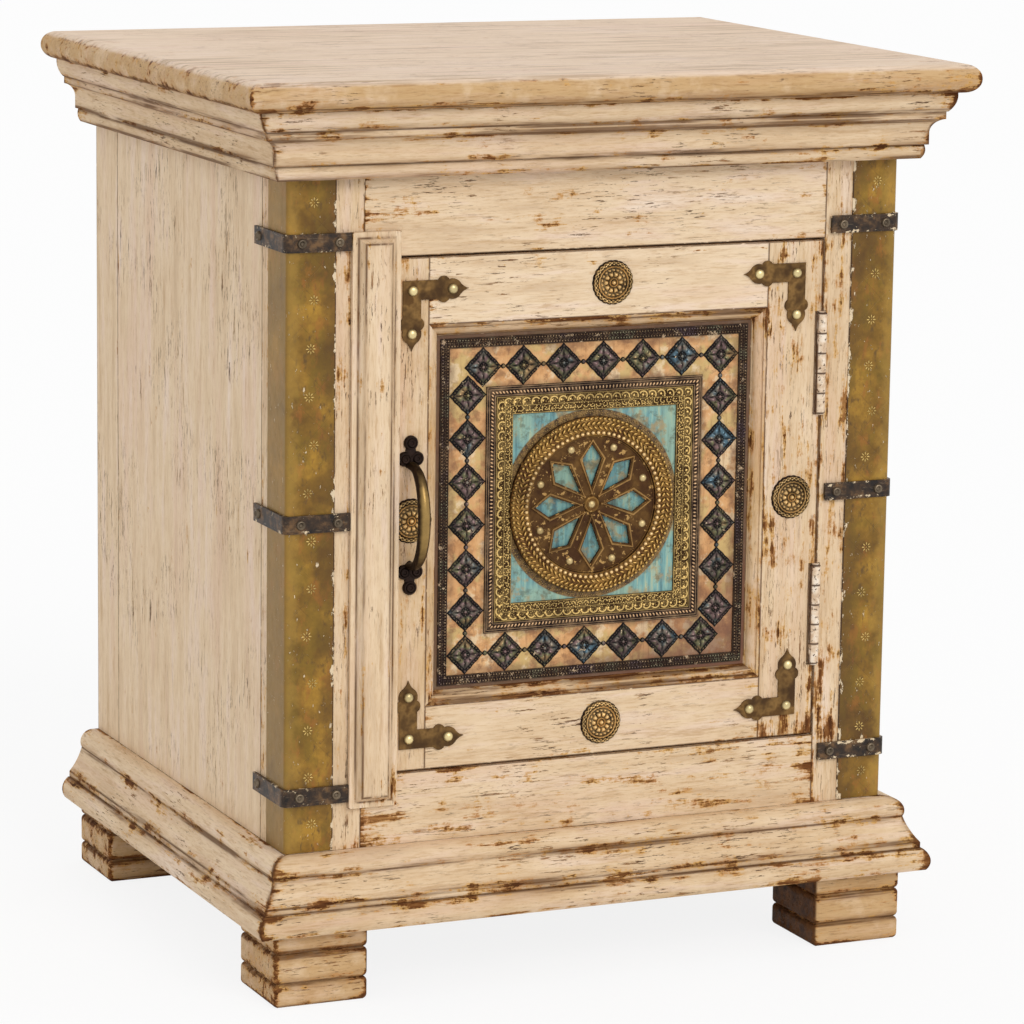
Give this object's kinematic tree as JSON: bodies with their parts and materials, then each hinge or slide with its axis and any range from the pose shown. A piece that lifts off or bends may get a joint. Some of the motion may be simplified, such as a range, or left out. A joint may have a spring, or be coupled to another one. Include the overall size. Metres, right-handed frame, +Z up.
{
  "type": "one-door bedside cabinet",
  "caption": "Small painted wooden cabinet with a moulded top and base, block feet, brass corners and a framed door that swings on butt hinges.",
  "frame": {"origin": "on the floor, under the middle of the whole object's box", "axes": "+X to the right seen from the front, +Y to the back, +Z up; the door faces -Y"},
  "size_m": [0.5142, 0.419, 0.6],
  "materials": {
    "cream_painted_wood": "distressed cream paint, worn edges",
    "raw_wood": "bare mango wood",
    "panel_wood": "stained wood",
    "brass_sheet": "aged sheet brass",
    "black_iron": "blackened",
    "dark_bronze": "dark patina",
    "pale_brass": "rubbed bright",
    "aged_brass": "aged",
    "oxidised_metal": "blue-black oxide",
    "gold_brass": "aged gold",
    "painted_hinge_steel": "painted over",
    "plain_steel": "plain",
    "magnet_case": "brown plastic"
  },
  "bodies": {
    "case": {"top_board": "cream_painted_wood", "cornice_front": "cream_painted_wood", "cornice_left": "cream_painted_wood", "cornice_right": "cream_painted_wood", "post_front_left": "cream_painted_wood", "post_front_right": "cream_painted_wood", "post_back_left": "cream_painted_wood", "post_back_right": "cream_painted_wood", "side_panel_left": "cream_painted_wood", "side_panel_right": "cream_painted_wood", "top_rail": "cream_painted_wood", "bottom_rail": "cream_painted_wood", "back_panel": "raw_wood", "floor_board": "raw_wood", "shelf": "raw_wood", "board_cleats": "raw_wood", "base_moulding_front": "cream_painted_wood", "base_moulding_left": "cream_painted_wood", "base_moulding_right": "cream_painted_wood", "foot_front_left": "cream_painted_wood", "foot_front_right": "cream_painted_wood", "foot_back_left": "cream_painted_wood", "foot_back_right": "cream_painted_wood", "brass_corner_left": "brass_sheet", "brass_corner_right": "brass_sheet", "straps_left": "black_iron", "straps_right": "black_iron", "strap_nails": "black_iron", "hinge_frame_leaves": "painted_hinge_steel", "hinge_pins": "painted_hinge_steel", "frame_hinge_screws": "plain_steel", "catch_magnet": "magnet_case"},
    "door": {"door_stile_left": "cream_painted_wood", "door_stile_right": "cream_painted_wood", "door_rail_top": "cream_painted_wood", "door_rail_bottom": "cream_painted_wood", "door_panel": "panel_wood", "panel_bead_bottom": "cream_painted_wood", "panel_bead_right": "cream_painted_wood", "panel_bead_top": "cream_painted_wood", "panel_bead_left": "cream_painted_wood", "cover_strip": "cream_painted_wood", "bracket_top_left": "dark_bronze", "bracket_top_right": "dark_bronze", "bracket_bottom_right": "dark_bronze", "bracket_bottom_left": "dark_bronze", "bracket_nails": "pale_brass", "rosettes": "aged_brass", "pull": "dark_bronze", "pull_screws": "black_iron", "outer_border": "oxidised_metal", "inner_border": "oxidised_metal", "gold_band": "gold_brass", "panel_diamonds": "oxidised_metal", "medallion": "aged_brass", "medallion_nails": "pale_brass", "hinge_door_leaves": "painted_hinge_steel", "door_hinge_screws": "plain_steel", "strike_plate": "plain_steel"}
  },
  "joints": [
    {"name": "door_hinge", "type": "hinge", "parent": "case", "child": "door", "pos_m": [0.16325, -0.1703, 0.315], "axis": [0, 0, 1], "range_deg": [0, 150]}
  ]
}
